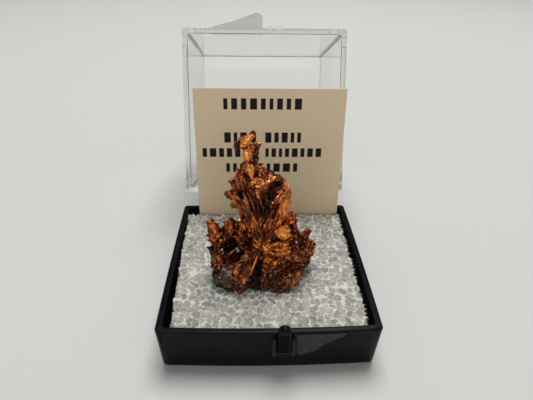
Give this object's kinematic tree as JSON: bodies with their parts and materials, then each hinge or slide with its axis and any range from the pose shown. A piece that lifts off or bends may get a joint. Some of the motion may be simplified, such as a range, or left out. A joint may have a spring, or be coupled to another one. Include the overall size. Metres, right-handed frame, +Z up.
{
  "type": "native copper specimen in display box",
  "caption": "Branching native copper specimen on a foam pad in a small black base, with a label card behind it and a clear hinged lid standing open.",
  "frame": {"origin": "centre of the flat underside of the box's base, on the table", "axes": "+Z up; -Y to the front, where the latch is; +Y to the back, where the hinge is; +X to the right seen from the front"},
  "size_m": [0.035, 0.0778, 0.0459],
  "materials": {
    "black_plastic": "satin moulded polystyrene",
    "clear_plastic": "clear polystyrene with slightly yellowed edges",
    "foam": "soft white open-cell foam, cut edges torn",
    "card": "matt cream card with dark print",
    "film": "dusty translucent film",
    "copper": "tarnished native copper, red-brown with bright orange faces"
  },
  "bodies": {
    "base": {"base_tray": "black_plastic", "foam_pad": "foam", "label_card": "card", "seal_film_base": "film", "native_copper": "copper"},
    "lid": {"lid": "clear_plastic", "seal_film_lid": "film"}
  },
  "joints": [
    {"name": "lid_hinge", "type": "hinge", "parent": "base", "child": "lid", "pos_m": [0, 0.019, 0.009], "axis": [1, 0, 0], "range_deg": [0, 112.17], "deforming": ["label_card"]}
  ]
}
